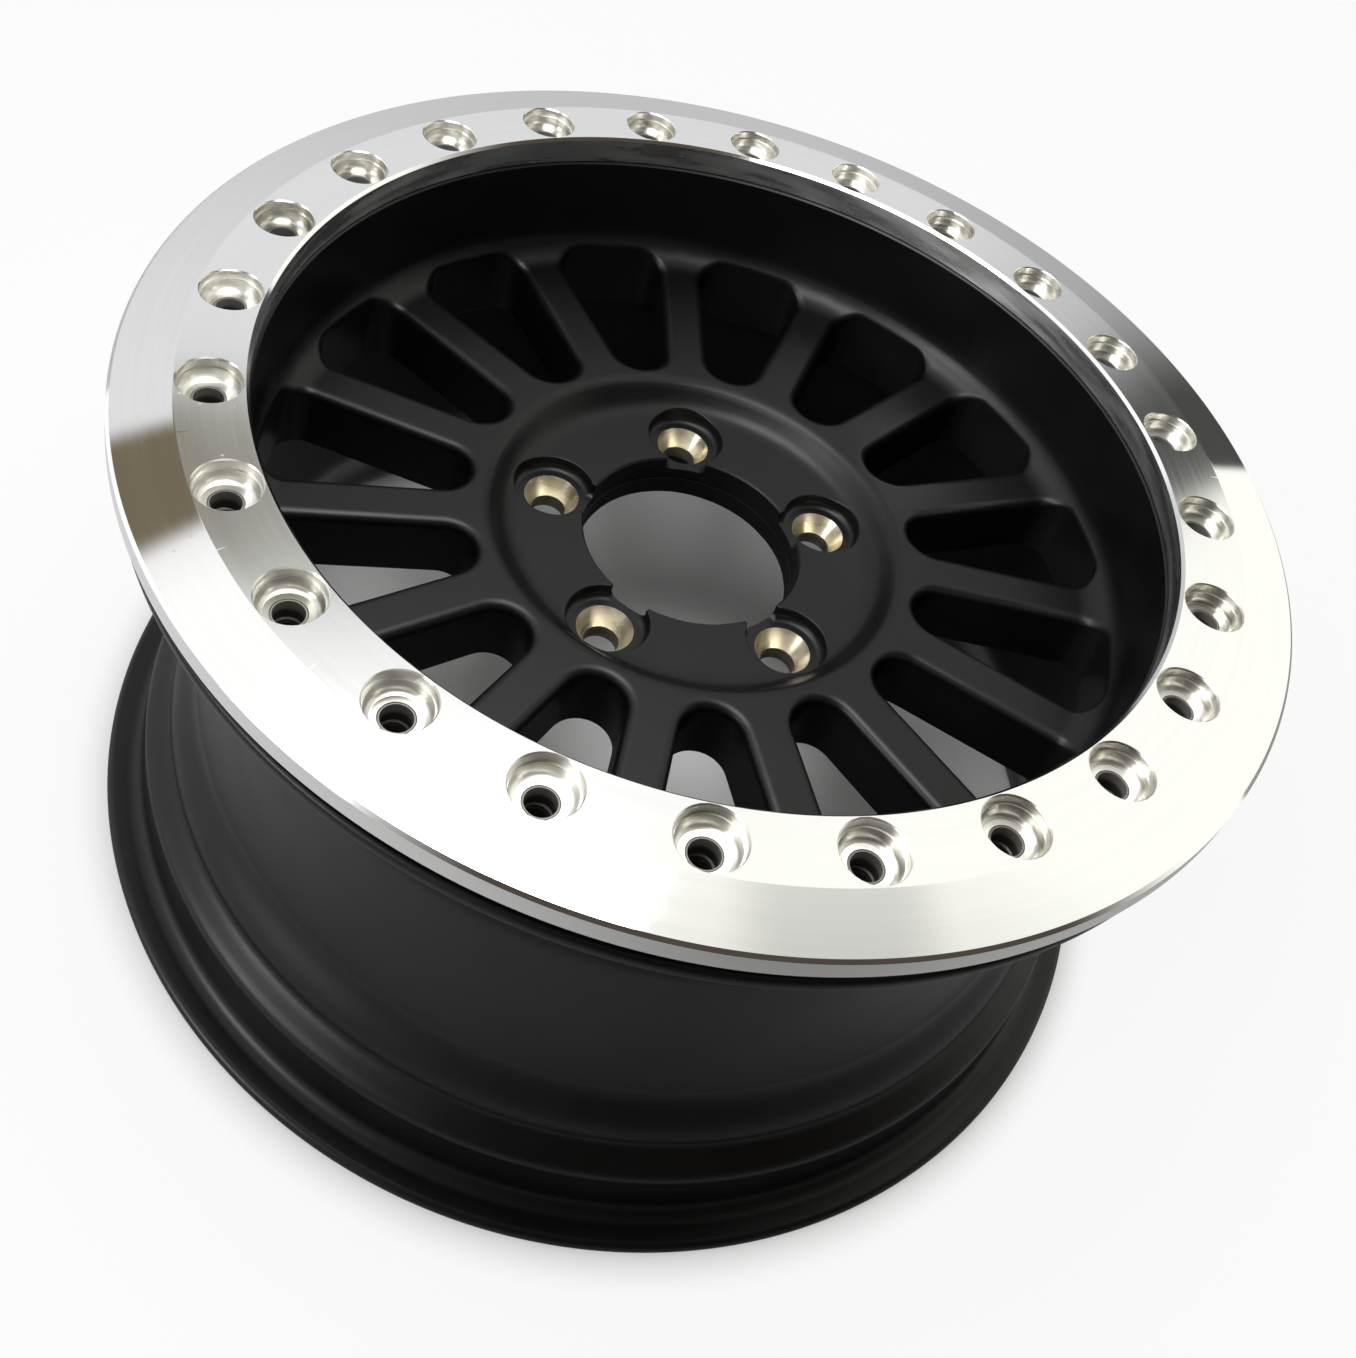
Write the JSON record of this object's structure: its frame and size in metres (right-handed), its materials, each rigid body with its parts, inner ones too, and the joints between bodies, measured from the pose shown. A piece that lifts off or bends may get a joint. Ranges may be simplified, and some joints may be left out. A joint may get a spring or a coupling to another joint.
{
  "type": "beadlock wheel",
  "caption": "Deep-dish forged wheel with straight spokes, a bolt-on bead clamp ring round its outer rim and conical lug seats in a recessed hub.",
  "frame": {"origin": "on the axle, in the plane of the inboard flange's outer face, on which the wheel lies", "axes": "+Z points outboard along the axle, from the inboard flange to the clamp ring; +Y points at one lug hole; +X follows by the right-hand rule"},
  "size_m": [0.4713, 0.4714, 0.2317],
  "materials": {
    "wheel": "satin black powder coat over forged aluminium, with bare conical lug seats",
    "ring": "bright turned, bare",
    "insert": "dark zinc"
  },
  "bodies": {
    "root": {"wheel": "wheel", "beadlock_ring": "ring", "thread_insert_01": "insert", "thread_insert_02": "insert", "thread_insert_03": "insert", "thread_insert_04": "insert", "thread_insert_05": "insert", "thread_insert_06": "insert", "thread_insert_07": "insert", "thread_insert_08": "insert", "thread_insert_09": "insert", "thread_insert_10": "insert", "thread_insert_11": "insert", "thread_insert_12": "insert", "thread_insert_13": "insert", "thread_insert_14": "insert", "thread_insert_15": "insert", "thread_insert_16": "insert", "thread_insert_17": "insert", "thread_insert_18": "insert", "thread_insert_19": "insert", "thread_insert_20": "insert", "thread_insert_21": "insert", "thread_insert_22": "insert", "thread_insert_23": "insert", "thread_insert_24": "insert"}
  },
  "joints": []
}
